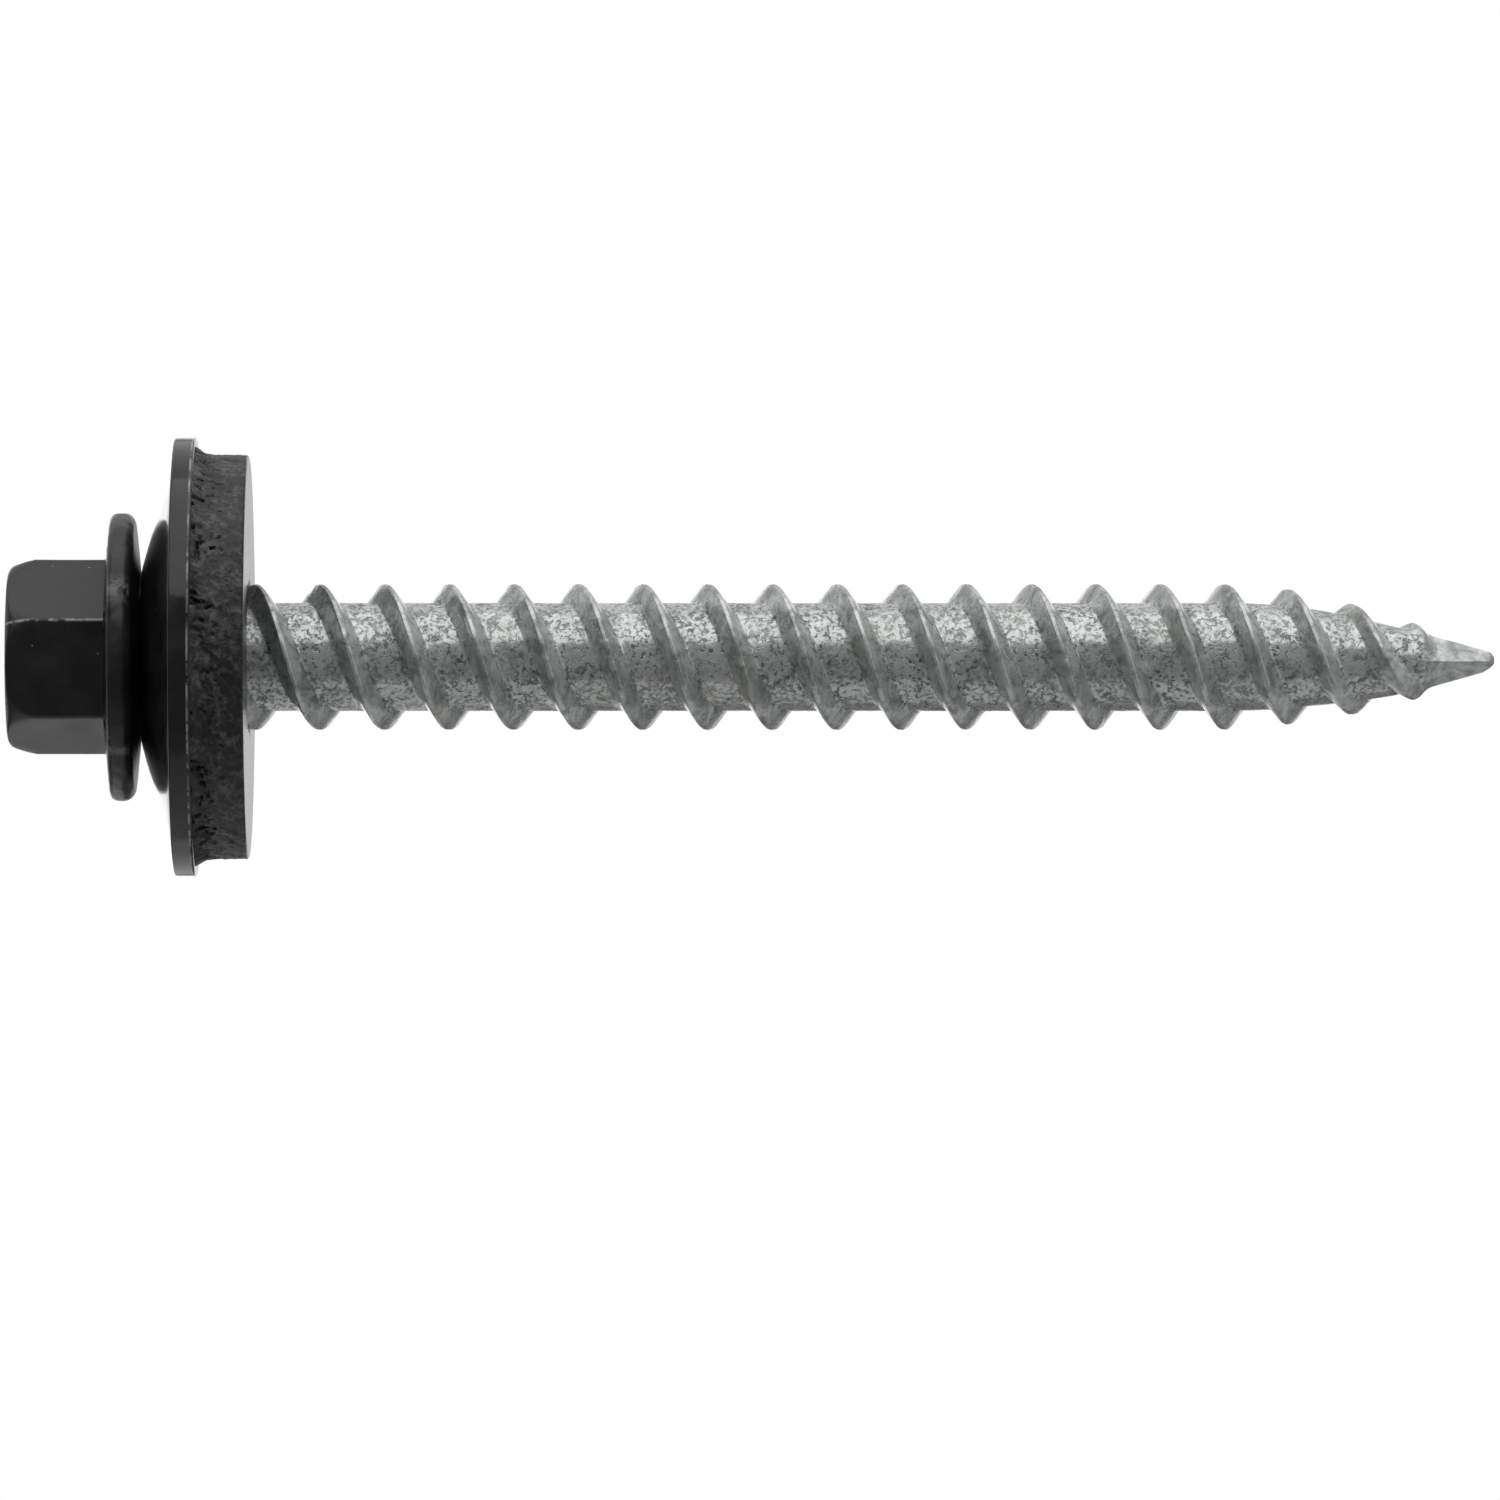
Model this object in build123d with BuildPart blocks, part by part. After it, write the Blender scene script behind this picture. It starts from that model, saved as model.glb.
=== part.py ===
from build123d import *
from math import cos, pi, radians, sin, tan
import os

# A timber screw with a painted hexagon washer head and a loose bonded washer
# (a domed steel disc with a rubber seal under it). Millimetres.
# The screw's axis is Z with the head up, and z = 0 is the seal's lower face.

# Stack between the head and the sheet
bearing_z = 4.00            # underside of the head's flange, at the neck
seat_gap = 0.03             # running gap between the flange and the washer

# Head
head_height = 4.97
hex_across_flats = 6.35
hex_turn = -8.0             # one corner's angle from +X
crown_drop = 0.97           # how far the corners are trimmed back from the end
crown_slope = 22.0          # slope of that trim, from the axis
crown_round = 0.45          # rounding between the trim and the end face
dish_radius = 1.75
dish_floor_radius = 1.2
dish_depth = 0.25
flange_radius = 5.35
flange_crown = 1.25         # flange thickness at the foot of the hexagon
flange_lift = 0.18          # rise of the underside from the washer's seat to the rim
flange_rim = 0.95           # flange thickness at the rim
rim_round = 0.38

# Neck and thread
neck_radius = 2.15
neck_fillet = 0.3
root_radius = 2.0
crest_radius = 2.70
thread_starts = 2
thread_lead = 4.78
crest_land = 0.13           # width of the crest along the axis
flank_angle = 33.5          # each flank, from square to the axis
first_crest_z = -0.23       # a crest crosses +X at this height
run_in_top = 1.08           # the thread fades out at the neck here
thread_top = -0.02          # below here the thread is at full height

# Point
point_start = -36.22        # the core starts to narrow here
point_end = -44.02          # the last trace of thread
point_root_radius = 0.87
point_crest_radius = 1.15
point_fade = 1.0            # length over which the last thread runs out
pinch_mid_z = -45.52
pinch_mid_radius = 0.45
tip_z = -46.08
tip_radius = 0.28
root_bend = 1.85            # how late the core bends inwards along the point
crest_bend = 1.65
least_thread = 0.03         # thread height left at both of its ends
sections_per_turn = 24

# Metal washer
washer_radius = 8.15
washer_hole_radius = 2.5
washer_seat_radius = 3.15   # flat part that meets the flange
washer_sheet = 0.79         # thickness along the axis
washer_drop = 1.24          # fall of the cone from the seat to the rim
washer_edge_round = 0.15

# Rubber seal
seal_top_radius = 7.8
seal_face_radius = 7.45
seal_bore_radius = 2.22
seal_mouth_radius = 2.9     # the bore widens to clear the thread
seal_mouth_height = 1.1
seal_edge_round = 0.12

head_top = bearing_z + head_height
hex_corner_radius = hex_across_flats / 2 / cos(pi / 6)
washer_top = bearing_z - seat_gap
washer_rim_top = washer_top - washer_drop
seal_top = washer_top - washer_sheet
seal_rim_top = washer_rim_top - washer_sheet
hex_foot = bearing_z + flange_crown / 2
corner_top = head_top - crown_drop
crown_radius = hex_corner_radius - crown_drop * tan(radians(crown_slope))
rim_bottom = bearing_z + flange_lift


def polar(radius, angle):
    return (radius * cos(radians(angle)), radius * sin(radians(angle)))


def thread_plane(z):
    """Level plane whose X axis points at a crest."""
    turn = 360 * (z - first_crest_z) / thread_lead
    return Plane.XY.offset(z).rotated((0, 0, turn))


def thread_section(z, root, crest):
    """Section square to the axis: one lobe for each start, with flanks that climb evenly."""
    land_half = 180 * crest_land / thread_lead
    foot_half = land_half + 360 * (crest - root) * tan(radians(flank_angle)) / thread_lead
    flank_mid = (land_half + foot_half) / 2
    middle = (root + crest) / 2
    pitch_angle = 360 / thread_starts
    with BuildSketch(thread_plane(z)) as section:
        with BuildLine():
            for start in range(thread_starts):
                at = start * pitch_angle
                to = at + pitch_angle
                rise_foot = polar(root, to - foot_half)
                fall_foot = polar(root, at + foot_half)
                crest_end = polar(crest, at + land_half)
                ThreePointArc(polar(crest, at - land_half), polar(crest, at), crest_end)
                ThreePointArc(crest_end, polar(middle, at + flank_mid), fall_foot)
                ThreePointArc(fall_foot, polar(root, at + pitch_angle / 2), rise_foot)
                ThreePointArc(rise_foot, polar(middle, to - flank_mid), polar(crest, to - land_half))
        make_face()
    return section.sketch


def thread_sections(low, high, radii):
    """Sections of a threaded length whose root and crest radii change with height."""
    count = round((high - low) / thread_lead * sections_per_turn)
    heights = [low + (high - low) * step / count for step in range(count + 1)]
    return [thread_section(z, *radii(z)) for z in heights]


def run_in_radii(z):
    along = (z - thread_top) / (run_in_top - thread_top)
    root = root_radius + along * (neck_radius - least_thread - root_radius)
    crest = crest_radius + along * (neck_radius - crest_radius)
    return root, crest


def point_radii(z):
    along = (point_start - z) / (point_start - point_end)
    root = root_radius - (root_radius - point_root_radius) * along ** root_bend
    crest = crest_radius - (crest_radius - point_crest_radius) * along ** crest_bend
    fade = min(1, (z - point_end) / point_fade)
    return root, root + max(least_thread, (crest - root) * fade)


# The screw, one solid from the hexagon to the point
with BuildPart() as screw:
    with BuildSketch(Plane.XY.offset(hex_foot)):
        RegularPolygon(hex_corner_radius, 6, rotation=hex_turn)
    extrude(amount=head_top - hex_foot)
    # trimmed and rounded corners at the end of the hexagon
    with BuildSketch(Plane.XZ) as crown:
        with BuildLine():
            Polyline(
                (0, head_top),
                (0, hex_foot),
                (hex_corner_radius, hex_foot),
                (hex_corner_radius, corner_top),
                (crown_radius, head_top),
                close=True,
            )
        make_face()
        fillet(crown.vertices().sort_by_distance((crown_radius, head_top))[0], crown_round)
    revolve(mode=Mode.INTERSECT)
    # shallow dish left by the heading punch
    with BuildSketch(Plane.XZ):
        with BuildLine():
            Polyline(
                (0, head_top),
                (dish_radius, head_top),
                (dish_floor_radius, head_top - dish_depth),
                (0, head_top - dish_depth),
                close=True,
            )
        make_face()
    revolve(mode=Mode.SUBTRACT)
    # flange and neck
    with BuildSketch(Plane.XZ) as flange:
        with BuildLine():
            Polyline(
                (0, run_in_top),
                (neck_radius, run_in_top),
                (neck_radius, bearing_z),
                (washer_seat_radius, bearing_z),
                (flange_radius, rim_bottom),
                (flange_radius, rim_bottom + flange_rim),
                (hex_across_flats / 2, bearing_z + flange_crown),
                (0, bearing_z + flange_crown),
                close=True,
            )
        make_face()
        fillet(flange.vertices().group_by(Axis.X)[-1], rim_round)
        fillet(flange.vertices().sort_by_distance((neck_radius, bearing_z))[0], neck_fillet)
    revolve()
    # parallel thread: one section twisted along the axis by a helix
    axis_line = Edge.make_line((0, 0, point_start), (0, 0, thread_top))
    twist = Edge.make_helix(thread_lead, thread_top - point_start, 1, center=(0, 0, point_start))
    sweep(thread_section(point_start, root_radius, crest_radius), axis_line, binormal=twist)
    loft(thread_sections(thread_top, run_in_top, run_in_radii))
    loft(thread_sections(point_end, point_start, point_radii))
    # four-sided pinched tip
    with BuildSketch(Plane.XY.offset(point_end)):
        Circle(point_root_radius)
    with BuildSketch(Plane.XY.offset(pinch_mid_z)):
        RegularPolygon(pinch_mid_radius, 4)
    with BuildSketch(Plane.XY.offset(tip_z)):
        RegularPolygon(tip_radius, 4)
    loft(ruled=True)
screw.part.label = "screw"

# The washer's steel disc: flat seat, cone and a square-cut rounded rim
with BuildPart() as metal_washer:
    with BuildSketch(Plane.XZ) as disc:
        with BuildLine():
            Polyline(
                (washer_hole_radius, washer_top),
                (washer_seat_radius, washer_top),
                (washer_radius, washer_rim_top),
                (washer_radius, seal_rim_top),
                (washer_seat_radius, seal_top),
                (washer_hole_radius, seal_top),
                close=True,
            )
        make_face()
        fillet(disc.vertices().group_by(Axis.X)[-1], washer_edge_round)
    revolve()
metal_washer.part.label = "metal_washer"

# The rubber seal fills the underside of the disc down to a flat lower face
cone_slope = washer_drop / (washer_radius - washer_seat_radius)
seal_edge_top = seal_top - cone_slope * (seal_top_radius - washer_seat_radius)
with BuildPart() as rubber_seal:
    with BuildSketch(Plane.XZ) as ring:
        with BuildLine():
            Polyline(
                (seal_bore_radius, seal_top),
                (washer_seat_radius, seal_top),
                (seal_top_radius, seal_edge_top),
                (seal_face_radius, 0),
                (seal_mouth_radius, 0),
                (seal_bore_radius, seal_mouth_height),
                close=True,
            )
        make_face()
        fillet(ring.vertices().sort_by_distance((seal_face_radius, 0))[0], seal_edge_round)
    revolve()
rubber_seal.part.label = "rubber_seal"

os.makedirs("parts", exist_ok=True)
for piece in (screw.part, metal_washer.part, rubber_seal.part):
    export_step(piece, f"parts/{piece.label}.step")
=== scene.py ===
import bisect
import math
import random

import bmesh
import bpy
from mathutils import Matrix, Vector, noise


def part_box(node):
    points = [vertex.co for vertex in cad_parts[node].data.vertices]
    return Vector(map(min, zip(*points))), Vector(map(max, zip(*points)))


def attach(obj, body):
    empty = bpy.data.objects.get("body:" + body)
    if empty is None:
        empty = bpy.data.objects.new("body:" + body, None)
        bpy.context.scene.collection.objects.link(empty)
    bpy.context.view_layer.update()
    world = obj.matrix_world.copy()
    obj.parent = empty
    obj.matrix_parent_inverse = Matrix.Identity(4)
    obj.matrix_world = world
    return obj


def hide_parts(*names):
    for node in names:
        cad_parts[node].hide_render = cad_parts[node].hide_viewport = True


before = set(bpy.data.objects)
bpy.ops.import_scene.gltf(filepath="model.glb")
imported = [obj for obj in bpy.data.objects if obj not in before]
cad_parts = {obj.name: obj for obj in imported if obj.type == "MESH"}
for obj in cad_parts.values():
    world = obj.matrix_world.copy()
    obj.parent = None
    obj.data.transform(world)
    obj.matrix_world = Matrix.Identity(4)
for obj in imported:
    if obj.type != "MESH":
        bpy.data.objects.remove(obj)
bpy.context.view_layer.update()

mm = 0.001

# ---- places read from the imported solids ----

screwLow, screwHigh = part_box("screw")
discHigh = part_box("metal_washer")[1]
sealLow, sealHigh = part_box("rubber_seal")
headTop = screwHigh.z
tipZ = screwLow.z
flangeRadius = screwHigh.x
discRadius = discHigh.x
discTop = discHigh.z
sealRadius = sealHigh.x
sealTop = sealHigh.z
sealFace = sealLow.z
seatGap = 0.03 * mm           # running gap between the washer and the flange
bearingZ = discTop + seatGap


# ---- small modelling helpers ----

def deselectAll():
    if bpy.context.object and bpy.context.object.mode != "OBJECT":
        bpy.ops.object.mode_set(mode="OBJECT")
    bpy.ops.object.select_all(action="DESELECT")


def editPiece(piece):
    deselectAll()
    piece.select_set(True)
    bpy.context.view_layer.objects.active = piece
    bpy.ops.object.mode_set(mode="EDIT")


def drawOutline(name, points, closed):
    # a chain of vertices, drawn in the XZ plane by extruding one vertex from point to point
    deselectAll()
    bpy.ops.mesh.primitive_plane_add(size=1 * mm)
    piece = bpy.context.object
    piece.name = piece.data.name = name
    bpy.ops.object.mode_set(mode="EDIT")
    bpy.ops.mesh.merge(type="CENTER")
    here = Vector(points[0])
    bpy.ops.transform.translate(value=here)
    for point in points[1:]:
        step = Vector(point) - here
        bpy.ops.mesh.extrude_vertices_move(TRANSFORM_OT_translate={"value": step})
        here = Vector(point)
    if closed:
        grid = bmesh.from_edit_mesh(piece.data)
        ends = [vert for vert in grid.verts if len(vert.link_edges) == 1]
        for vert in grid.verts:
            vert.select = vert in ends
        bpy.ops.mesh.edge_face_add()
    return piece


def closeUp(piece):
    bpy.ops.mesh.select_all(action="SELECT")
    bpy.ops.mesh.remove_doubles(threshold=0.0005 * mm)
    bpy.ops.mesh.normals_make_consistent(inside=False)
    bpy.ops.object.mode_set(mode="OBJECT")


def spinOutline(piece, steps):
    bpy.ops.mesh.select_all(action="SELECT")
    bpy.ops.mesh.spin(steps=steps, angle=math.tau, center=(0, 0, 0), axis=(0, 0, 1))
    closeUp(piece)


def ease(low, high, value):
    share = min(1.0, max(0.0, (value - low) / (high - low)))
    return share * share * (3 - 2 * share)


def arcPoints(centre, radius, startAngle, endAngle, count):
    # points of an arc in the XZ plane, angles in degrees from +X
    points = []
    for step in range(count + 1):
        angle = math.radians(startAngle + (endAngle - startAngle) * step / count)
        points.append((centre[0] + radius * math.cos(angle), 0, centre[1] + radius * math.sin(angle)))
    return points


def linePoints(start, end, count):
    return [
        (start[0] + (end[0] - start[0]) * step / count, 0, start[1] + (end[1] - start[1]) * step / count)
        for step in range(count + 1)
    ]


def moveVerts(piece, place):
    for vert in piece.data.vertices:
        vert.co = place(vert.co)
    piece.data.update()


def smooth(piece, angle):
    deselectAll()
    piece.select_set(True)
    bpy.context.view_layer.objects.active = piece
    bpy.ops.object.shade_smooth_by_angle(angle=math.radians(angle))


# ---- camera ----

camera = {
    "distance": 600 * mm,
    "lens": 389.2,
    "aimX": -3.44 * mm,
    "aimZ": -18.53 * mm,
}


def makeCamera():
    data = bpy.data.cameras.new("camera")
    data.sensor_width = 36
    data.lens = camera["lens"]
    data.clip_start = 0.01
    data.clip_end = 10
    rig = bpy.data.objects.new("camera", data)
    bpy.context.scene.collection.objects.link(rig)
    # the screw lies across the picture: the point to the right, +X up, looking along +Y
    turned = Matrix(((0, 1, 0), (0, 0, -1), (-1, 0, 0))).to_4x4()
    place = Matrix.Translation((camera["aimX"], -camera["distance"], camera["aimZ"]))
    rig.matrix_world = place @ turned
    bpy.context.scene.camera = rig
    print("camera placed")


makeCamera()


# ---- material helpers ----

def newMaterial(name):
    material = bpy.data.materials.new(name)
    material.use_nodes = True
    nodes = material.node_tree.nodes
    shader = nodes["Principled BSDF"]
    coords = nodes.new("ShaderNodeTexCoord")
    return material, nodes, material.node_tree.links, shader, coords.outputs["Object"]


def addNoise(nodes, links, coords, scale, detail=4.0, roughness=0.55, distortion=0.0):
    node = nodes.new("ShaderNodeTexNoise")
    node.inputs["Scale"].default_value = scale
    node.inputs["Detail"].default_value = detail
    node.inputs["Roughness"].default_value = roughness
    node.inputs["Distortion"].default_value = distortion
    links.new(coords, node.inputs["Vector"])
    return node.outputs["Fac"]


def addRamp(nodes, links, source, stops):
    node = nodes.new("ShaderNodeValToRGB")
    ramp = node.color_ramp
    while len(ramp.elements) < len(stops):
        ramp.elements.new(0.5)
    for element, (place, value) in zip(ramp.elements, stops):
        element.position = place
        element.color = value if isinstance(value, tuple) else (value, value, value, 1)
    links.new(source, node.inputs["Fac"])
    return node.outputs["Color"]


def addMath(nodes, links, operation, first, second):
    node = nodes.new("ShaderNodeMath")
    node.operation = operation
    for socket, value in zip(node.inputs, (first, second)):
        if isinstance(value, (int, float)):
            socket.default_value = value
        else:
            links.new(value, socket)
    return node.outputs[0]


def addMix(nodes, links, share, first, second):
    node = nodes.new("ShaderNodeMix")
    node.data_type = "RGBA"
    for socket, value in ((node.inputs[0], share), (node.inputs[6], first), (node.inputs[7], second)):
        if isinstance(value, (int, float, tuple)):
            socket.default_value = value
        else:
            links.new(value, socket)
    return node.outputs[2]


def addBump(nodes, links, height, strength, distance, under=None):
    node = nodes.new("ShaderNodeBump")
    node.inputs["Strength"].default_value = strength
    node.inputs["Distance"].default_value = distance
    links.new(height, node.inputs["Height"])
    if under:
        links.new(under, node.inputs["Normal"])
    return node.outputs["Normal"]


def addAttribute(nodes, name):
    node = nodes.new("ShaderNodeAttribute")
    node.attribute_name = name
    return node.outputs["Fac"]


# ---- finishes ----

zinc = {
    "dark": (0.10, 0.112, 0.108, 1),
    "dull": (0.38, 0.402, 0.392, 1),
    "bright": (0.66, 0.68, 0.665, 1),
    "tarnish": (0.25, 0.235, 0.205, 1),
    "worn": (0.62, 0.62, 0.60, 1),
    "grainSize": 0.17 * mm,
    "patchSize": 0.75 * mm,
    "metallic": 0.50,
}


def makeZinc():
    material, nodes, links, shader, coords = newMaterial("mottledZinc")
    grain = addNoise(nodes, links, coords, 1 / zinc["grainSize"], detail=3, roughness=0.65, distortion=0.6)
    patch = addNoise(nodes, links, coords, 1 / zinc["patchSize"], detail=4, roughness=0.6, distortion=0.8)
    cloud = addNoise(nodes, links, coords, 0.35 / zinc["patchSize"], detail=3)
    # lighter patches of plating on a duller ground, darker where the plating is thin
    lighter = addRamp(nodes, links, patch, [(0.46, 0.0), (0.60, 0.6)])
    tone = addMix(nodes, links, lighter, zinc["dull"], zinc["bright"])
    thin = addRamp(nodes, links, patch, [(0.36, 0.45), (0.46, 0.0)])
    tone = addMix(nodes, links, thin, tone, zinc["dark"])
    stain = addRamp(nodes, links, cloud, [(0.50, 0.0), (0.70, 0.35)])
    tone = addMix(nodes, links, stain, tone, zinc["tarnish"])
    # a crust of bright grains with fine dark gaps, thickest in the thread's valleys
    share = addAttribute(nodes, "crust")
    specks = addRamp(nodes, links, grain, [(0.51, 0.0), (0.59, 0.65)])
    grains = addMath(nodes, links, "MULTIPLY", specks, share)
    tone = addMix(nodes, links, grains, tone, zinc["bright"])
    crust = addRamp(nodes, links, grain, [(0.40, 0.0), (0.47, 1.0)])
    depth = addRamp(nodes, links, cloud, [(0.42, 0.9), (0.58, 0.4)])
    depth = addMath(nodes, links, "MULTIPLY", depth, share)
    gaps = addMath(nodes, links, "SUBTRACT", 1.0, crust)
    gaps = addMath(nodes, links, "MULTIPLY", gaps, depth)
    tone = addMix(nodes, links, gaps, tone, zinc["dark"])
    # the crest of the thread is rubbed bright
    breaks = addRamp(nodes, links, patch, [(0.47, 0.0), (0.60, 0.55)])
    rubbed = addMath(nodes, links, "MULTIPLY", addAttribute(nodes, "wear"), breaks)
    tone = addMix(nodes, links, rubbed, tone, zinc["worn"])
    links.new(tone, shader.inputs["Base Color"])
    shader.inputs["Metallic"].default_value = zinc["metallic"]
    links.new(addRamp(nodes, links, patch, [(0.35, 0.30), (0.60, 0.20)]), shader.inputs["Roughness"])
    normal = addBump(nodes, links, patch, 0.5, 0.03 * mm)
    bare = addMath(nodes, links, "SUBTRACT", 1.0, share)
    relief = addMath(nodes, links, "MAXIMUM", crust, bare)
    normal = addBump(nodes, links, relief, 0.7, 0.015 * mm, normal)
    links.new(normal, shader.inputs["Normal"])
    return material


paint = {
    "black": (0.008, 0.008, 0.0085, 1),
    "faded": (0.024, 0.025, 0.023, 1),
    # rubbed paint; on the head's lit corner and rim it also serves as a painted highlight
    "worn": (0.36, 0.36, 0.35, 1),
    "dust": (0.30, 0.30, 0.29, 1),
}


def makePaint(name, roughness, gloss, peelDepth):
    material, nodes, links, shader, coords = newMaterial(name)
    peel = addNoise(nodes, links, coords, 1.7 / mm, detail=3, roughness=0.6)
    haze = addNoise(nodes, links, coords, 0.6 / mm, detail=4)
    specks = addNoise(nodes, links, coords, 7.0 / mm, detail=2, roughness=0.7)
    breaks = addNoise(nodes, links, coords, 2.2 / mm, detail=3, roughness=0.7)
    colour = addRamp(nodes, links, haze, [(0.35, paint["black"]), (0.75, paint["faded"])])
    # specks of dust and of grit under the paint
    dust = nodes.new("ShaderNodeTexVoronoi")
    dust.inputs["Scale"].default_value = 1.1 / mm
    links.new(coords, dust.inputs["Vector"])
    dustMask = addRamp(nodes, links, dust.outputs["Distance"], [(0.02, 1.0), (0.05, 0.0)])
    dusty = addMath(nodes, links, "MULTIPLY", dustMask, 0.7)
    colour = addMix(nodes, links, dusty, colour, paint["dust"])
    # lighter rubbed paint: wear, and on the head also a painted highlight on the lit corner and rim
    patchy = addRamp(nodes, links, breaks, [(0.42, 0.0), (0.52, 1.0)])
    chippedAndHighlight = addMath(nodes, links, "MULTIPLY", addAttribute(nodes, "wear"), patchy)
    colour = addMix(nodes, links, chippedAndHighlight, colour, paint["worn"])
    links.new(colour, shader.inputs["Base Color"])
    shader.inputs["Specular IOR Level"].default_value = gloss
    rough = addRamp(nodes, links, haze, [(0.3, roughness), (0.75, roughness + 0.12)])
    links.new(rough, shader.inputs["Roughness"])
    normal = addBump(nodes, links, peel, 0.5, peelDepth)
    normal = addBump(nodes, links, specks, 0.25, 0.25 * peelDepth, normal)
    links.new(normal, shader.inputs["Normal"])
    return material


rubber = {
    "pit": (0.003, 0.003, 0.003, 1),
    "black": (0.010, 0.010, 0.010, 1),
    "dusty": (0.085, 0.085, 0.083, 1),
    "wallRoughness": 0.50,
    "faceRoughness": 0.27,
    "faceDepth": 0.08 * mm,   # the smooth lower face has given way to the wall at this height
}


def makeRubber():
    material, nodes, links, shader, coords = newMaterial("sealRubber")
    crumb = addNoise(nodes, links, coords, 4.0 / mm, detail=4, roughness=0.7)
    lumps = addNoise(nodes, links, coords, 1.5 / mm, detail=4, roughness=0.6, distortion=0.6)
    mixed = addMath(nodes, links, "ADD", crumb, lumps)
    mixed = addMath(nodes, links, "MULTIPLY", mixed, 0.5)
    stops = [(0.40, rubber["pit"]), (0.50, rubber["black"]), (0.62, rubber["dusty"])]
    links.new(addRamp(nodes, links, mixed, stops), shader.inputs["Base Color"])
    # the moulded lower face is smoother than the torn wall
    height = nodes.new("ShaderNodeSeparateXYZ")
    links.new(coords, height.inputs[0])
    onWall = addMath(nodes, links, "MULTIPLY", height.outputs["Z"], 1 / rubber["faceDepth"])
    rough = addRamp(nodes, links, onWall, [(0.4, rubber["faceRoughness"]), (1.0, rubber["wallRoughness"])])
    links.new(rough, shader.inputs["Roughness"])
    relief = addRamp(nodes, links, onWall, [(0.4, 0.06), (1.0, 1.0)])
    bumped = addMath(nodes, links, "MULTIPLY", mixed, relief)
    links.new(addBump(nodes, links, bumped, 0.9, 0.14 * mm), shader.inputs["Normal"])
    return material


zincFinish = makeZinc()
headFinish = makePaint("headPaint", roughness=0.28, gloss=0.40, peelDepth=0.012 * mm)
discFinish = makePaint("washerPaint", roughness=0.10, gloss=0.42, peelDepth=0.010 * mm)
rubberFinish = makeRubber()
print("finishes made")


def paintShare(piece, name, share):
    # a value from 0 to 1 at each vertex, such as how far the paint has rubbed off
    layer = piece.data.attributes.new(name, "FLOAT", "POINT")
    layer.data.foreach_set("value", [share(vert.co) for vert in piece.data.vertices])


# ---- threaded shank ----

thread = {
    "root": 2.0 * mm,
    "crest": 2.70 * mm,
    "lead": 4.78 * mm,
    "crestRound": 0.13 * mm,
    "footRound": 0.12 * mm,
    "groove": 0.02 * mm,      # fold left along the crest by the rolling dies
    "flankAngle": 33.5,
    "crestAtX": -0.23 * mm,   # a crest crosses +X at this height
    "steps": 144,
    "neck": 2.15 * mm,
    "fullBelow": -0.02 * mm,
    "noneAbove": 1.08 * mm,
    "pointStart": -36.22 * mm,
    "pointEnd": -44.02 * mm,
    "pointRoot": 0.87 * mm,
    "pointCrest": 1.15 * mm,
    "pointFade": 1.0 * mm,
    "rootBend": 1.85,
    "crestBend": 1.65,
    "pinchStart": -43.3 * mm,
    "pinchMid": -45.52 * mm,
    "pinchRadius": 0.45 * mm,
    "tipRadius": 0.28 * mm,
    "tipRound": 0.20 * mm,
    "tipBevel": 0.42 * mm,    # length of the bevel at the very end, on the -X side
    "bevelShare": 0.40,
    "lean": 0.16 * mm,        # the point stands this far off the axis, towards -X
    "leanStart": -38.3 * mm,
    "leanEnd": -43.1 * mm,
    "intoHead": 0.3 * mm,     # the shank runs on inside the head
    "waveSize": 1.6 * mm,
    "waveDepth": 0.015 * mm,
    "lumpSize": 0.5 * mm,
    "lumpDepth": 0.012 * mm,
    # depths below the crest: rubbing from none to full, then crust from its least to full
    "wearRange": (0.030 * mm, 0.012 * mm),
    "crustRange": (0.45 * mm, 0.66 * mm),
    "flankCrust": 0.3,
}


def threadProfile():
    # one lead of the profile, two crests, as (distance along the axis, radius)
    t = thread
    slope = math.tan(math.radians(t["flankAngle"]))
    turn = math.radians(90 - t["flankAngle"])
    pitch = t["lead"] / 2
    crestRound = t["crestRound"]
    footRound = t["footRound"]
    half = []
    for step in range(5):
        angle = turn * step / 4
        half.append((crestRound * math.sin(angle), t["crest"] - crestRound * (1 - math.cos(angle))))
    flankTop = half[-1]
    half[0] = (0, t["crest"] - t["groove"])
    foot = flankTop[0] + (flankTop[1] - t["root"]) * slope
    middle = foot + footRound * math.tan(turn / 2)
    curve = []
    for step in range(4):
        angle = turn * (1 - step / 3)
        radius = t["root"] + footRound * (1 - math.cos(angle))
        curve.append((middle - footRound * math.sin(angle), radius))
    for step in range(1, 4):
        share = step / 4
        half.append(tuple(a + (b - a) * share for a, b in zip(flankTop, curve[0])))
    half += curve
    for step in range(1, 4):
        half.append((middle + (pitch / 2 - middle) * step / 3, t["root"]))
    onePitch = [(-along, radius) for along, radius in reversed(half[1:])] + half
    return onePitch + [(along + pitch, radius) for along, radius in onePitch[1:]]


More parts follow.
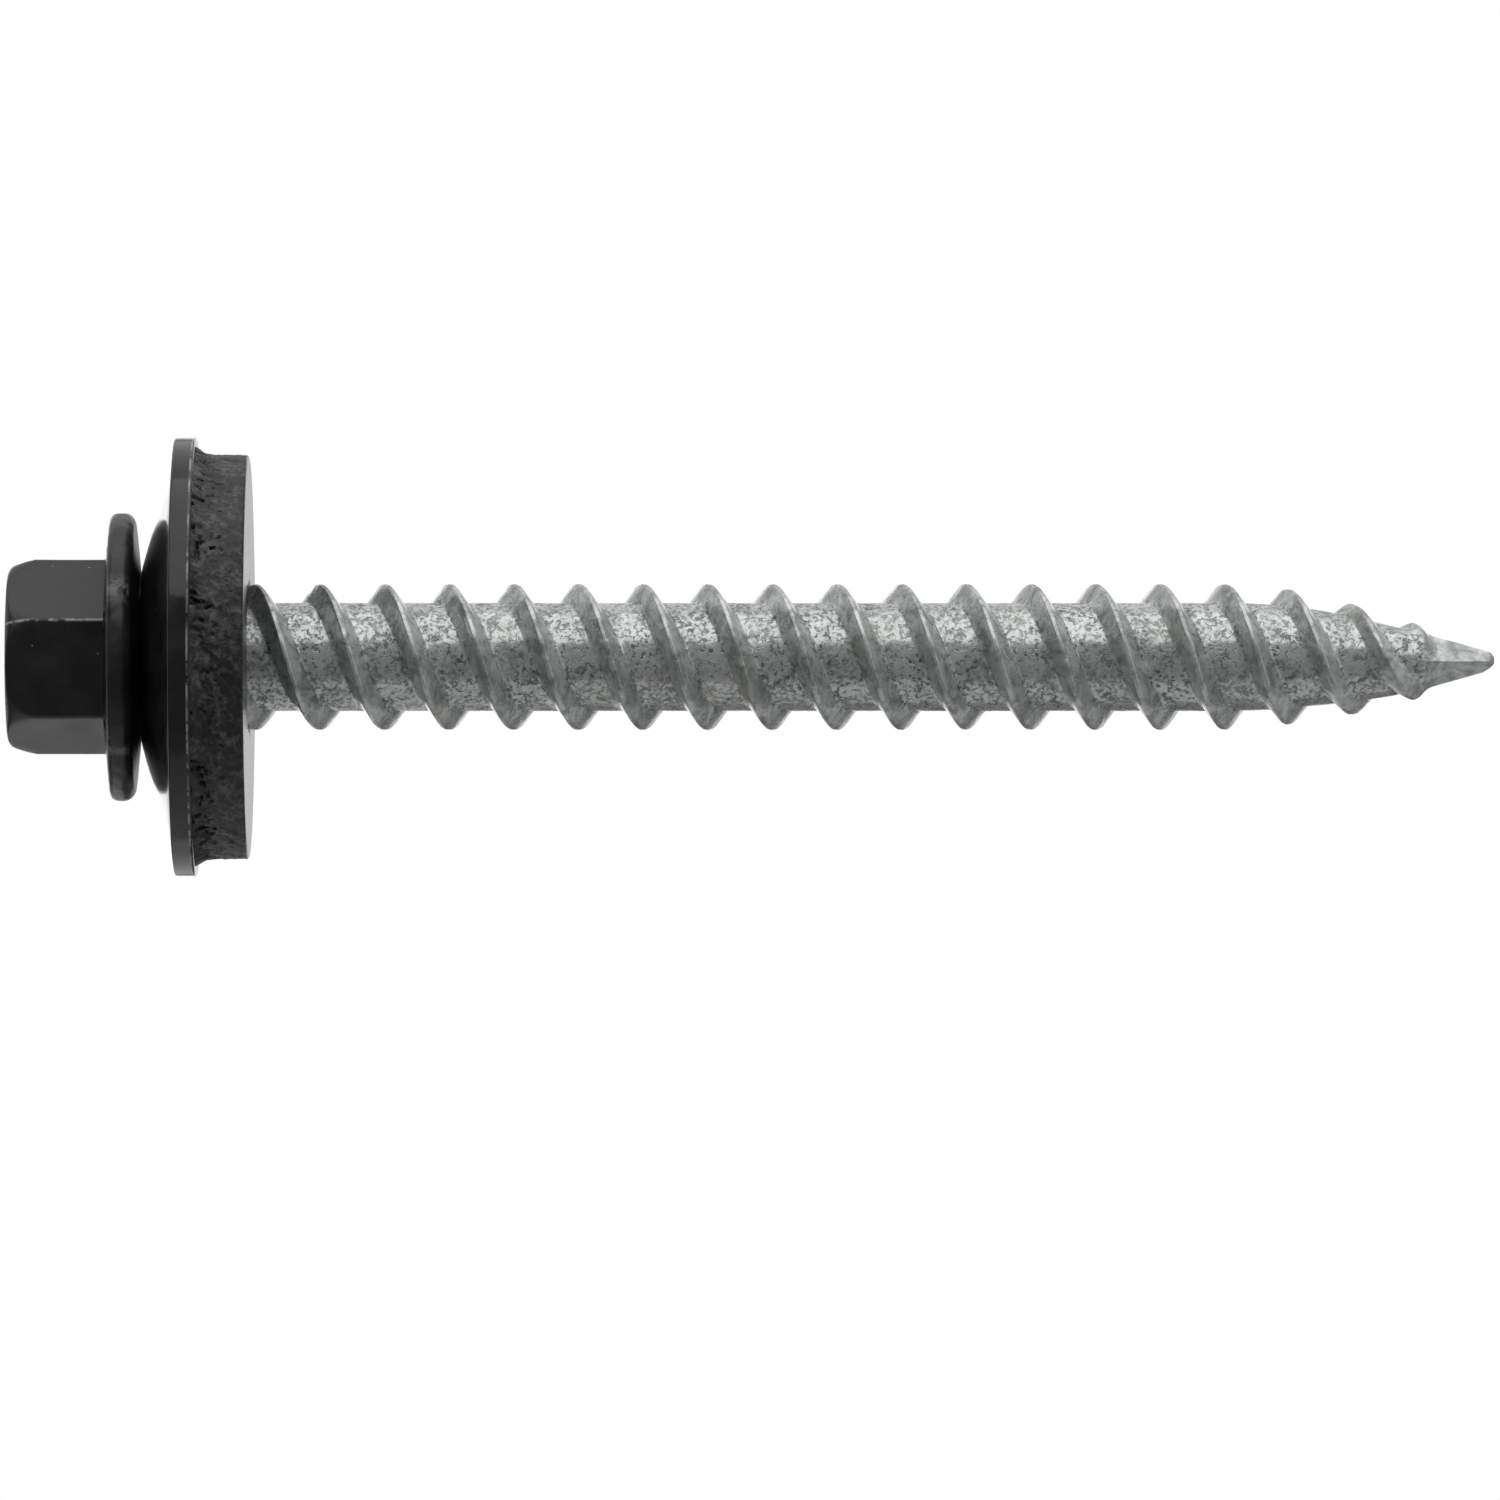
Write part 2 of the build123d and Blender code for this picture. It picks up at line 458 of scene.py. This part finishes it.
def shankPlace(co):
    t = thread
    radius = math.hypot(co.x, co.y)
    angle = math.atan2(co.y, co.x)
    height = (radius - t["root"]) / (t["crest"] - t["root"])
    core = t["root"]
    rise = t["crest"] - t["root"]
    if co.z > t["fullBelow"]:
        share = ease(t["fullBelow"], t["noneAbove"], co.z)
        core += share * (t["neck"] - t["root"])
        rise *= 1 - share
    if co.z < t["pointStart"]:
        along = min(1.0, (t["pointStart"] - co.z) / (t["pointStart"] - t["pointEnd"]))
        core = t["root"] - (t["root"] - t["pointRoot"]) * along ** t["rootBend"]
        crest = t["crest"] - (t["crest"] - t["pointCrest"]) * along ** t["crestBend"]
        rise = (crest - core) * ease(0, t["pointFade"], co.z - t["pointEnd"])
        if co.z < t["pinchMid"]:
            share = (t["pinchMid"] - co.z) / (t["pinchMid"] - tipZ)
            core = t["pinchRadius"] + share * (t["tipRadius"] - t["pinchRadius"])
        elif co.z < t["pointEnd"]:
            share = (t["pointEnd"] - co.z) / (t["pointEnd"] - t["pinchMid"])
            core = t["pointRoot"] + share * (t["pinchRadius"] - t["pointRoot"])
    if co.z < t["pinchStart"]:
        # four flat sides whose edges stand on the X and Y axes
        share = ease(0, t["pinchStart"] - t["pointEnd"], t["pinchStart"] - co.z)
        square = 1 / (abs(math.cos(angle)) + abs(math.sin(angle)))
        core *= 1 + share * (square - 1)
    if co.z < tipZ + t["tipRound"]:
        left = 1 - (co.z - tipZ) / t["tipRound"]
        core *= math.sqrt(max(0.0, 1 - left * left))
    if co.z < tipZ + t["tipBevel"]:
        left = 1 - (co.z - tipZ) / t["tipBevel"]
        core *= 1 - t["bevelShare"] * left * max(0.0, -math.cos(angle))
    # slow unevenness from rolling and plating
    wave = noise.noise(co / t["waveSize"])
    lump = noise.noise(co / t["lumpSize"] + Vector((7, 3, 1)))
    uneven = t["lumpDepth"] * lump + t["waveDepth"] * wave * height
    top = core + height * rise + uneven * ease(0, 0.6 * mm, core)
    top = min(top, t["crest"] - 0.001 * mm)
    aside = t["lean"] * ease(-t["leanStart"], -t["leanEnd"], -co.z)
    return Vector((top * math.cos(angle) - aside, top * math.sin(angle), co.z))


def belowCrest(co):
    return thread["crest"] - math.hypot(co.x, co.y)


def onPoint(co):
    return ease(thread["pinchStart"], thread["pointEnd"], co.z)


def crestWear(co):
    return ease(*thread["wearRange"], belowCrest(co))


def crustShare(co):
    least = thread["flankCrust"]
    return least + (1 - least) * ease(*thread["crustRange"], belowCrest(co))


def makeShank():
    t = thread
    top = bearingZ + t["intoHead"]
    first = t["crestAtX"] - math.ceil((t["crestAtX"] - tipZ) / t["lead"] + 1) * t["lead"]
    points = [(radius, 0, first + along) for along, radius in threadProfile()]
    piece = drawOutline("threadedShank", points, False)
    bpy.ops.object.mode_set(mode="OBJECT")
    turn = piece.modifiers.new("turn", "SCREW")
    turn.axis = "Z"
    turn.screw_offset = t["lead"]
    turn.iterations = math.ceil((top - first) / t["lead"]) + 1
    turn.steps = turn.render_steps = t["steps"]
    turn.use_merge_vertices = False
    bpy.ops.object.modifier_apply(modifier="turn")
    editPiece(piece)
    bpy.ops.mesh.select_all(action="SELECT")
    bpy.ops.mesh.remove_doubles(threshold=0.001 * mm)
    for height, outward in ((top, 1), (tipZ + 0.02 * mm, -1)):
        bpy.ops.mesh.select_all(action="SELECT")
        bpy.ops.mesh.bisect(
            plane_co=(0, 0, height),
            plane_no=(0, 0, outward),
            clear_outer=True,
            use_fill=True,
            threshold=0.0005 * mm,
        )
    bpy.ops.mesh.select_all(action="SELECT")
    bpy.ops.mesh.normals_make_consistent(inside=False)
    bpy.ops.object.mode_set(mode="OBJECT")
    paintShare(piece, "wear", lambda co: crestWear(co) * (1 - onPoint(co)))
    paintShare(piece, "crust", lambda co: crustShare(co) * (1 - 0.8 * onPoint(co)))
    moveVerts(piece, shankPlace)
    piece.data.materials.append(zincFinish)
    smooth(piece, 60)
    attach(piece, "screw")
    print("threaded shank:", len(piece.data.polygons), "faces")
    return piece


shank = makeShank()


# ---- painted head ----

head = {
    "acrossFlats": 6.35 * mm,
    "cornerAngle": -8.0,      # one corner of the hexagon, from +X
    "sharpness": 90,          # higher is a sharper corner
    "steps": 288,
    "seat": 3.15 * mm,
    "lift": 0.18 * mm,        # rise of the flange's underside towards its rim
    "rim": 0.95 * mm,
    "lowerRound": 0.46 * mm,
    "upperRound": 0.30 * mm,
    "foot": 1.25 * mm,
    "footRound": 0.12 * mm,
    "crownDrop": 0.97 * mm,   # how far the corners are trimmed back from the end
    "crownSlope": 22,
    "crownRound": 0.45 * mm,
    "crownRise": 0.05 * mm,   # the end face is slightly domed
    "crownSharpness": 60,     # of the edge between the flats and the crown
    # how far the paint is rubbed off each corner, the first at cornerAngle, counter-clockwise; the corner
    # facing the light gets the most, so its edge carries a painted highlight, and the shaded corner gets
    # the least
    "cornerWearAndHighlight": (0.25, 0.5, 0.2, 0.6, 0.08, 1.0),
    # scuffs on the flange's rim: angle from +X, half width in degrees; the widest, at -62, sits where the
    # light is reflected and is partly a painted highlight
    "rimScuffsAndHighlight": ((-62, 7), (-131, 3), (24, 5), (97, 4), (158, 8)),
    "dishRadius": 1.75 * mm,
    "dishFloor": 1.2 * mm,
    "dishDepth": 0.25 * mm,
}


def hexReach(angle):
    # distance to the hexagon's side, for a hexagon of unit half width with softened corners
    total = 0.0
    for side in range(6):
        normal = math.radians(head["cornerAngle"] + 30 + 60 * side)
        facing = math.cos(angle - normal)
        if facing > 0:
            total += facing ** head["sharpness"]
    return total ** (-1 / head["sharpness"])


def headRings():
    # each ring of the head: height above the bearing face, radius or half width, share of hexagon
    h = head
    outer = flangeRadius
    rings = [(0, 0.55 * outer, 0), (0, h["seat"], 0)]
    low = h["lowerRound"]
    for step in range(9):
        angle = math.radians(-88 + 88 * step / 8)
        rings.append((h["lift"] + low + low * math.sin(angle), outer - low + low * math.cos(angle), 0))
    top = h["lift"] + h["rim"]
    high = h["upperRound"]
    for step in range(1, 4):
        rings.append((h["lift"] + low + (h["rim"] - low - high) * step / 4, outer, 0))
    for step in range(7):
        angle = math.radians(85 * step / 6)
        rings.append((top - high + high * math.sin(angle), outer - high + high * math.cos(angle), 0))
    half = h["acrossFlats"] / 2
    foot = h["footRound"]
    corner = half / math.cos(math.pi / 6)
    rings.append((top + 0.25 * (h["foot"] - top), outer - high - 0.3 * mm, 0))
    rings.append((top + 0.6 * (h["foot"] - top), corner + 0.40 * mm, 0))
    rings.append((h["foot"], corner + 0.16 * mm, 0.5))
    for step in range(7):
        angle = math.radians(90 * step / 6)
        rings.append((h["foot"] + foot * (1 - math.cos(angle)), half + foot * (1 - math.sin(angle)), 1))
    crown = headTop - bearingZ - h["crownDrop"] - 0.12 * mm
    for step in range(1, 9):
        rings.append((h["foot"] + foot + (crown - h["foot"] - foot) * step / 8, half, 1))
    return rings


def crownProfile():
    # height above the bearing face and largest radius: the trimmed corner, its rounding, the end face
    h = head
    corner = h["acrossFlats"] / 2 / math.cos(math.pi / 6)
    edge = headTop - bearingZ - h["crownRise"]
    kink = headTop - bearingZ - h["crownDrop"]
    slope = math.radians(h["crownSlope"])
    rounding = h["crownRound"]
    centreZ = edge - rounding
    reach = rounding - (kink - centreZ) * math.sin(slope)
    centreR = corner - reach / math.cos(slope)
    rows = [(kink - 0.08 * mm, corner * 1.03), (kink, corner)]
    startZ = centreZ + rounding * math.sin(slope)
    for share in (0.3, 0.6, 0.9):
        height = kink + (startZ - kink) * share
        rows.append((height, corner - (height - kink) * math.tan(slope)))
    for step in range(8):
        angle = slope + (math.radians(88) - slope) * step / 7
        rows.append((centreZ + rounding * math.sin(angle), centreR + rounding * math.cos(angle)))
    for share in (0.4, 0.8):
        fall = h["crownRise"] * (1 - share) ** 2
        rows.append((edge + h["crownRise"] - fall, centreR + (h["dishRadius"] - centreR) * share))
    return rows


def makeHead():
    h = head
    deselectAll()
    rings = headRings()
    start = math.radians(h["cornerAngle"])
    bpy.ops.mesh.primitive_circle_add(
        vertices=h["steps"], radius=rings[0][1], fill_type="NGON", location=(0, 0, bearingZ)
    )
    piece = bpy.context.object
    piece.name = piece.data.name = "paintedHead"
    bpy.ops.object.transform_apply(location=True)
    bpy.ops.object.mode_set(mode="EDIT")
    reach = {}

    def shapeRing(height, size, share, limit=None):
        grid = bmesh.from_edit_mesh(piece.data)
        for vert in grid.verts:
            if not vert.select:
                continue
            if len(vert.link_edges) < 2:
                continue
            angle = math.atan2(vert.co.y, vert.co.x)
            key = round((angle - start) / (math.tau / h["steps"])) % h["steps"]
            angle = start + key * math.tau / h["steps"]
            if key not in reach:
                reach[key] = hexReach(angle)
            radius = size * (1 + share * (reach[key] - 1))
            if limit is not None:
                blend = h["crownSharpness"]
                radius = (radius ** -blend + limit ** -blend) ** (-1 / blend)
            vert.co = Vector((radius * math.cos(angle), radius * math.sin(angle), bearingZ + height))
        bmesh.update_edit_mesh(piece.data)

    bpy.ops.mesh.select_all(action="SELECT")
    shapeRing(*rings[0])
    for ring in rings[1:]:
        bpy.ops.mesh.extrude_region_move()
        shapeRing(*ring)
    # the crown: rounding sweeps over the corners and up to the flat end
    half = h["acrossFlats"] / 2
    top = headTop - bearingZ
    for height, limit in crownProfile():
        bpy.ops.mesh.extrude_region_move()
        shapeRing(height, half, 1, limit)
    lip = h["dishRadius"] + 0.12 * mm
    for height, radius in (
        (top, lip),
        (top - 0.015 * mm, h["dishRadius"]),
        (top - 0.05 * mm, h["dishRadius"] - 0.08 * mm),
        (top - h["dishDepth"] + 0.03 * mm, h["dishFloor"] + 0.05 * mm),
        (top - h["dishDepth"], h["dishFloor"] - 0.1 * mm),
        (top - h["dishDepth"] - 0.01 * mm, 0.6 * mm),
    ):
        bpy.ops.mesh.extrude_region_move()
        shapeRing(height, radius, 0)
    bpy.ops.mesh.select_all(action="SELECT")
    bpy.ops.mesh.normals_make_consistent(inside=False)
    bpy.ops.object.mode_set(mode="OBJECT")

    def uneven(co):
        lumps = noise.noise(co / (1.3 * mm) + Vector((2, 9, 4)))
        dents = noise.fractal(co / (0.55 * mm) + Vector((6, 1, 5)), 0.8, 2.0, 3)
        out = Vector((co.x, co.y, 0))
        if out.length > 0.3 * mm:
            onRim = ease(4.2 * mm, 5.0 * mm, out.length)
            co = co - out.normalized() * mm * (0.008 * (1 + lumps) + 0.022 * onRim * max(0.0, 1 + dents))
        return co

    moveVerts(piece, uneven)

    # paint rubbed off the corners and the flange's rim: real wear, plus a painted highlight on the corner
    # and rim spot that face the light
    def edgeWear(co):
        around = math.degrees(math.atan2(co.y, co.x))
        if co.z < bearingZ + h["foot"]:
            if math.hypot(co.x, co.y) < flangeRadius - 0.2 * mm:
                return 0.0
            return max(0.45 * max(0.0, 1 - abs(around - spot) / wide) for spot, wide in h["rimScuffsAndHighlight"])
        angle = (around - h["cornerAngle"]) % 360
        off = abs((angle + 30) % 60 - 30)
        worn = h["cornerWearAndHighlight"][round(angle / 60) % 6]
        return worn * max(0.0, 1 - off / 0.9)

    paintShare(piece, "wear", edgeWear)
    piece.data.materials.append(headFinish)
    smooth(piece, 40)
    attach(piece, "screw")
    print("painted head:", len(piece.data.polygons), "faces")
    return piece


paintedHead = makeHead()
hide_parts("screw")
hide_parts("screw")


# ---- washer disc ----

disc = {
    "hole": 2.5 * mm,
    "seat": 3.15 * mm,
    "sheet": 0.79 * mm,
    "drop": 1.24 * mm,
    "edgeRound": 0.10 * mm,
    "wearLine": 0.030 * mm,   # half width of the rubbed line at the rim's lower edge
    "steps": 320,
}


def makeDisc():
    d = disc
    slope = math.atan2(d["drop"], discRadius - d["seat"])
    rimTop = discTop - d["drop"]
    rimLow = rimTop - d["sheet"]
    soft = d["edgeRound"]
    tilt = math.degrees(slope)
    points = [(d["hole"] + 0.08 * mm, 0, discTop), (d["seat"] - 0.3 * mm, 0, discTop)]
    # the seat rolls over into the cone
    for step in range(9):
        share = step / 8
        radius = d["seat"] - 0.2 * mm + 0.6 * mm * share
        fall = math.tan(slope) * 0.4 * mm * share * share
        points.append((radius, 0, discTop - fall))
    coneStart = points[-1]
    upperCentre = (discRadius - soft, rimTop + soft * math.tan(slope) - soft / math.cos(slope))
    upper = arcPoints(upperCentre, soft, 90 - tilt, 0, 6)
    points += linePoints((coneStart[0], coneStart[2]), (upper[0][0], upper[0][2]), 10)[1:-1]
    points += upper
    lowerCentre = (discRadius - soft, rimLow + soft * math.tan(slope) + soft / math.cos(slope) * 0.72)
    lower = arcPoints(lowerCentre, soft, 0, -90 - tilt, 7)
    points += linePoints((upper[-1][0], upper[-1][2]), (lower[0][0], lower[0][2]), 12)[1:-1]
    points += lower
    points += [(d["seat"], 0, discTop - d["sheet"]), (d["hole"] + 0.05 * mm, 0, discTop - d["sheet"])]
    points += [(d["hole"], 0, discTop - d["sheet"] + 0.05 * mm), (d["hole"], 0, discTop - 0.08 * mm)]
    piece = drawOutline("washerDisc", points, True)
    spinOutline(piece, d["steps"])

    def uneven(co):
        lumps = noise.noise(co / (2.2 * mm) + Vector((5, 1, 8)))
        out = Vector((co.x, co.y, 0))
        share = ease(d["seat"] + 0.5 * mm, discRadius, out.length)
        return co - out.normalized() * 0.012 * mm * share * (1 + lumps)

    moveVerts(piece, uneven)

    def edgeWear(co):
        radius = math.hypot(co.x, co.y)
        if radius < discRadius - 0.2 * mm:
            return 0.0
        broken = ease(-0.25, 0.25, noise.fractal(co.xy.to_3d() / (0.9 * mm), 0.8, 2.0, 3))
        edge = 1.4 - abs(co.z - (rimLow + 0.10 * mm)) / d["wearLine"]
        return min(1.0, max(0.0, edge)) * (0.25 + 0.75 * broken)

    paintShare(piece, "wear", edgeWear)
    piece.data.materials.append(discFinish)
    smooth(piece, 50)
    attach(piece, "sealing_washer")
    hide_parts("metal_washer")
    print("washer disc:", len(piece.data.polygons), "faces")


makeDisc()


# ---- rubber seal ----

seal = {
    "face": 7.45 * mm,
    "bore": 2.22 * mm,
    "mouth": 2.9 * mm,
    "mouthHeight": 1.1 * mm,
    "edgeRound": 0.11 * mm,
    "steps": 720,
    "wallRows": 44,
    "flare": 0.72,            # the wall flares out to the disc above this share of its height
    "tears": 300,
    "tearReach": 0.05,        # radians searched to each side of a point
    "seed": 11,
}


def makeSeal():
    s = seal
    slope = disc["drop"] / (discRadius - disc["seat"])
    wallTop = sealTop - slope * (sealRadius - disc["seat"])
    soft = s["edgeRound"]
    wall = linePoints((sealRadius, wallTop), (s["face"] + 0.03 * mm, sealFace + soft), s["wallRows"])
    edge = arcPoints((s["face"] - soft + 0.03 * mm, sealFace + soft), soft, 0, -90, 6)
    points = [(s["bore"], 0, sealTop), (disc["seat"], 0, sealTop)]
    points += linePoints((disc["seat"], sealTop), (sealRadius, wallTop), 3)[1:-1]
    points += wall + edge[1:]
    points += linePoints((edge[-1][0], sealFace), (s["mouth"], sealFace), 12)[1:]
    points += [(s["bore"], 0, sealFace + s["mouthHeight"])]
    piece = drawOutline("rubberSeal", points, True)
    spinOutline(piece, s["steps"])

    # cracks and torn pits, most of them near the disc: place, half sizes, depth
    chance = random.Random(s["seed"])
    tears = []
    for _ in range(s["tears"]):
        high = chance.random() ** 0.6
        grow = 0.4 + 1.0 * high * chance.random()
        tears.append((
            chance.uniform(0, math.tau),
            (0.15 + 0.85 * high) * wallTop,
            chance.uniform(0.12, 0.34) * grow * mm,
            chance.uniform(0.04, 0.10) * grow * mm,
            chance.uniform(-0.7, 0.7),
            chance.uniform(0.06, 0.26) * grow * mm,
        ))
    tears.sort()
    starts = [tear[0] for tear in tears]

    def tearDepth(angle, height):
        deepest = 0.0
        for shift in (-math.tau, 0, math.tau):
            first = bisect.bisect_left(starts, angle + shift - s["tearReach"])
            last = bisect.bisect_right(starts, angle + shift + s["tearReach"])
            for where, middle, halfLength, halfWidth, turn, depth in tears[first:last]:
                across = (angle + shift - where) * sealRadius
                along = height - middle
                lengthways = (along * math.cos(turn) + across * math.sin(turn)) / halfLength
                sideways = (across * math.cos(turn) - along * math.sin(turn)) / halfWidth
                reach = lengthways ** 2 + sideways ** 2
                if reach < 1:
                    deepest = max(deepest, depth * (1 - reach) ** 0.6)
        return deepest

    def worn(co):
        radius = math.hypot(co.x, co.y)
        if radius < s["face"] - 0.6 * mm or co.z > wallTop + 0.02 * mm:
            return co
        angle = math.atan2(co.y, co.x)
        height = co.z - sealFace
        onWall = ease(0.0, 0.15 * mm, height) * ease(s["face"] - 0.4 * mm, s["face"] - 0.03 * mm, radius)
        around = Vector((math.cos(angle), math.sin(angle), 0)) * sealRadius / mm
        spot = around + Vector((0, 0, height / mm))
        grain = noise.fractal(spot * 2.4, 0.8, 2.0, 4)
        slow = noise.noise(spot * 0.55 + Vector((3, 3, 3)))
        patch = noise.noise(spot * 0.9 + Vector((8, 2, 6)))
        ragged = ease(0.45 * wallTop, 0.92 * wallTop, height) * ease(-0.35, 0.3, patch)
        crumbs = max(0.0, noise.fractal(spot * Vector((2.4, 2.4, 3.6)) + Vector((9, 0, 0)), 0.8, 2.1, 3))
        # nearly upright up to a thin flash that flares out and grips the disc's edge
        flash = ease(s["flare"] * wallTop, 1.04 * wallTop, height)
        straight = s["face"] + 0.04 * mm * ease(0, wallTop, height)
        flared = straight + (sealRadius - straight) * flash
        slanted = s["face"] + (sealRadius - s["face"]) * height / wallTop
        out = 0.035 * mm * grain * onWall + (flared - slanted) * onWall
        out -= 0.40 * mm * crumbs * ragged * (1 - 0.7 * flash)
        out -= tearDepth(angle, height) * onWall
        out -= 0.12 * mm * flash * ease(0.4, -0.5, slow)
        edge = s["face"] + (sealRadius - s["face"]) * ease(0, wallTop, height)
        top = max(radius - 0.55 * mm, min(radius + out, edge + 0.03 * mm + 0.10 * mm * flash))
        return Vector((top * math.cos(angle), top * math.sin(angle), co.z))

    moveVerts(piece, worn)
    piece.data.materials.append(rubberFinish)
    smooth(piece, 60)
    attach(piece, "sealing_washer")
    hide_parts("rubber_seal")
    print("rubber seal:", len(piece.data.polygons), "faces")


makeSeal()


# ---- floor and light ----

studio = {
    "floorDrop": 150 * mm,
    "floorRadius": 220 * mm,
    "floorColour": (0.82, 0.82, 0.82, 1),
    "roomGlow": 0.15,
    "distance": 250 * mm,
    # name: direction it shines from, width across, width along the screw, radiance
    "softboxes": {
        "softboxAbove": ((0.925, -0.36, -0.13), 0.39, 0.66, 1.45),
        "sheetUpper": ((0.766, 0.643, 0.0), 0.233, 0.40, 0.65),
        "sheetBehind": ((0.03, 1.0, 0.0), 0.16, 0.29, 1.0),
        "sheetHead": ((0.0, 0.957, 0.29), 0.10, 0.10, 0.9),
        "sheetBelow": ((-0.99, -0.10, 0.0), 0.31, 0.50, 0.42),
        "sheetLow": ((-0.67, 0.69, 0.254), 0.22, 0.10, 0.64),
        "cardLeft": ((0.12, 0.48, 0.87), 0.30, 0.18, 0.7),
    },
}


def makeFloor():
    deselectAll()
    place = (0, 0, tipZ - studio["floorDrop"])
    bpy.ops.mesh.primitive_circle_add(
        vertices=96, radius=studio["floorRadius"], fill_type="NGON", location=place
    )
    floor = bpy.context.object
    floor.name = "floor"
    material, nodes, links, shader, coords = newMaterial("paleFloor")
    shader.inputs["Base Color"].default_value = studio["floorColour"]
    shader.inputs["Roughness"].default_value = 0.9
    floor.data.materials.append(material)


def addSoftbox(name, direction, across, along, radiance):
    light = bpy.data.lights.new(name, "AREA")
    light.shape = "RECTANGLE"
    light.size = along
    light.size_y = across
    light.energy = radiance * math.pi * across * along
    rig = bpy.data.objects.new(name, light)
    bpy.context.scene.collection.objects.link(rig)
    aim = Vector(direction).normalized()
    # the box's own X lies along the screw as far as its direction lets it
    longways = (Vector((0, 0, 1)) - aim * aim.z).normalized()
    sideways = aim.cross(longways)
    turned = Matrix((longways, sideways, aim)).transposed().to_4x4()
    middle = Vector((0, 0, camera["aimZ"]))
    rig.matrix_world = Matrix.Translation(middle + aim * studio["distance"]) @ turned
    rig.visible_camera = False


def makeLight():
    world = bpy.data.worlds.new("studio")
    bpy.context.scene.world = world
    world.use_nodes = True
    nodes = world.node_tree.nodes
    links = world.node_tree.links
    # the camera sees plain white, while the object is lit by a dimmer room
    seen = nodes["Background"]
    seen.inputs["Color"].default_value = (1, 1, 1, 1)
    seen.inputs["Strength"].default_value = 1.0
    felt = nodes.new("ShaderNodeBackground")
    felt.inputs["Color"].default_value = (1, 1, 1, 1)
    felt.inputs["Strength"].default_value = studio["roomGlow"]
    paths = nodes.new("ShaderNodeLightPath")
    mix = nodes.new("ShaderNodeMixShader")
    links.new(paths.outputs["Is Camera Ray"], mix.inputs["Fac"])
    links.new(felt.outputs[0], mix.inputs[1])
    links.new(seen.outputs[0], mix.inputs[2])
    links.new(mix.outputs[0], nodes["World Output"].inputs["Surface"])
    for name, (direction, across, along, radiance) in studio["softboxes"].items():
        addSoftbox(name, direction, across, along, radiance)


makeFloor()
makeLight()
bpy.context.scene.view_settings.view_transform = "Standard"
print("studio ready")
